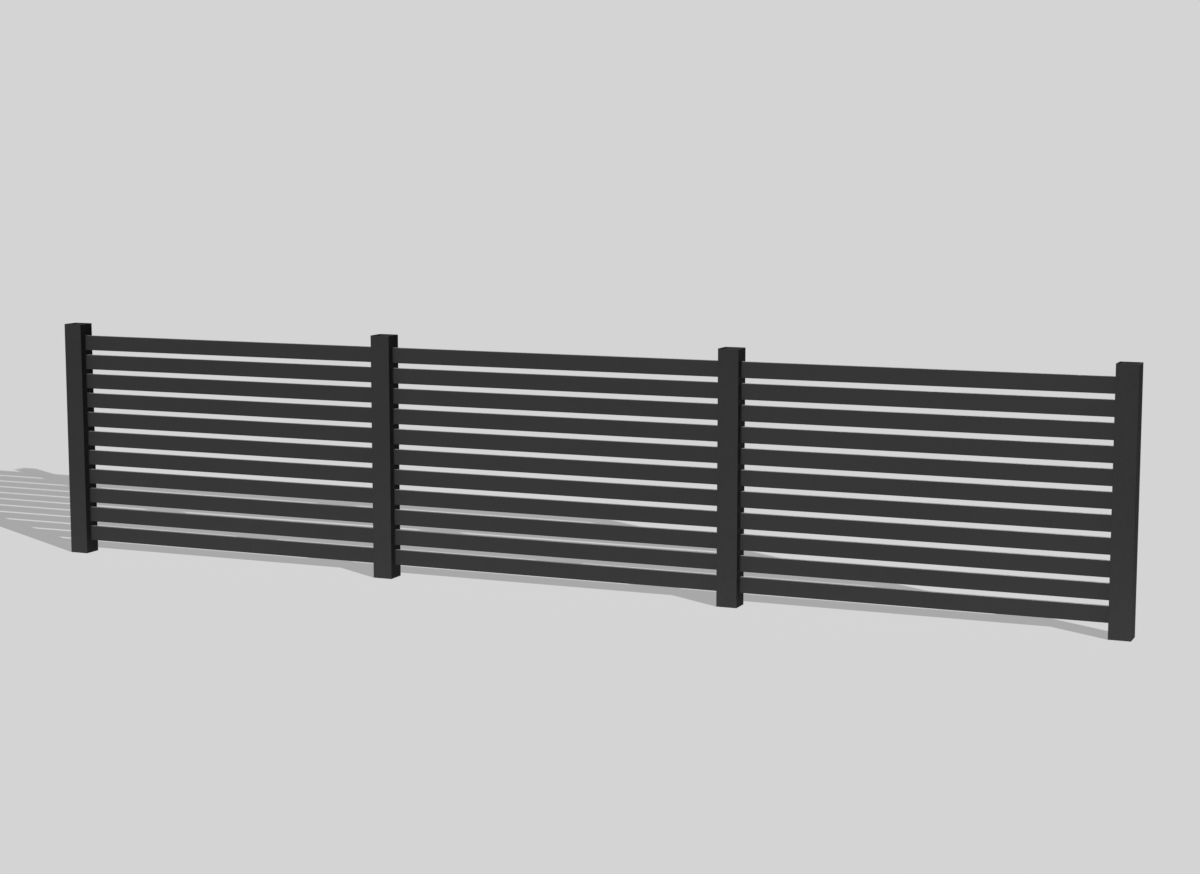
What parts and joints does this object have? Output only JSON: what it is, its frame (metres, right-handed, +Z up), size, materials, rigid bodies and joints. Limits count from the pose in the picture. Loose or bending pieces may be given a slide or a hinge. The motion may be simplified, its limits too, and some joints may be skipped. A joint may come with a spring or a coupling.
{
  "type": "horizontal slat steel fence",
  "caption": "Low straight run of steel fence: open-topped square posts with level flat-tube slats butted between them, closely spaced, powder coated dark grey.",
  "frame": {"origin": "middle of the first post's foot, on the ground", "axes": "+X along the fence towards the other posts, +Y through it from the front to the back, +Z up"},
  "size_m": [5.5, 0.1, 1.2],
  "materials": {
    "post_coat": "fine-textured matt powder coat, charcoal grey",
    "slat_coat": "fine-textured matt powder coat, charcoal grey"
  },
  "bodies": {
    "root": {"post_1": "post_coat", "post_2": "post_coat", "post_3": "post_coat", "post_4": "post_coat", "bay_1_slat_01": "slat_coat", "bay_1_slat_02": "slat_coat", "bay_1_slat_03": "slat_coat", "bay_1_slat_04": "slat_coat", "bay_1_slat_05": "slat_coat", "bay_1_slat_06": "slat_coat", "bay_1_slat_07": "slat_coat", "bay_1_slat_08": "slat_coat", "bay_1_slat_09": "slat_coat", "bay_1_slat_10": "slat_coat", "bay_1_slat_11": "slat_coat", "bay_2_slat_01": "slat_coat", "bay_2_slat_02": "slat_coat", "bay_2_slat_03": "slat_coat", "bay_2_slat_04": "slat_coat", "bay_2_slat_05": "slat_coat", "bay_2_slat_06": "slat_coat", "bay_2_slat_07": "slat_coat", "bay_2_slat_08": "slat_coat", "bay_2_slat_09": "slat_coat", "bay_2_slat_10": "slat_coat", "bay_2_slat_11": "slat_coat", "bay_3_slat_01": "slat_coat", "bay_3_slat_02": "slat_coat", "bay_3_slat_03": "slat_coat", "bay_3_slat_04": "slat_coat", "bay_3_slat_05": "slat_coat", "bay_3_slat_06": "slat_coat", "bay_3_slat_07": "slat_coat", "bay_3_slat_08": "slat_coat", "bay_3_slat_09": "slat_coat", "bay_3_slat_10": "slat_coat", "bay_3_slat_11": "slat_coat"}
  },
  "joints": []
}
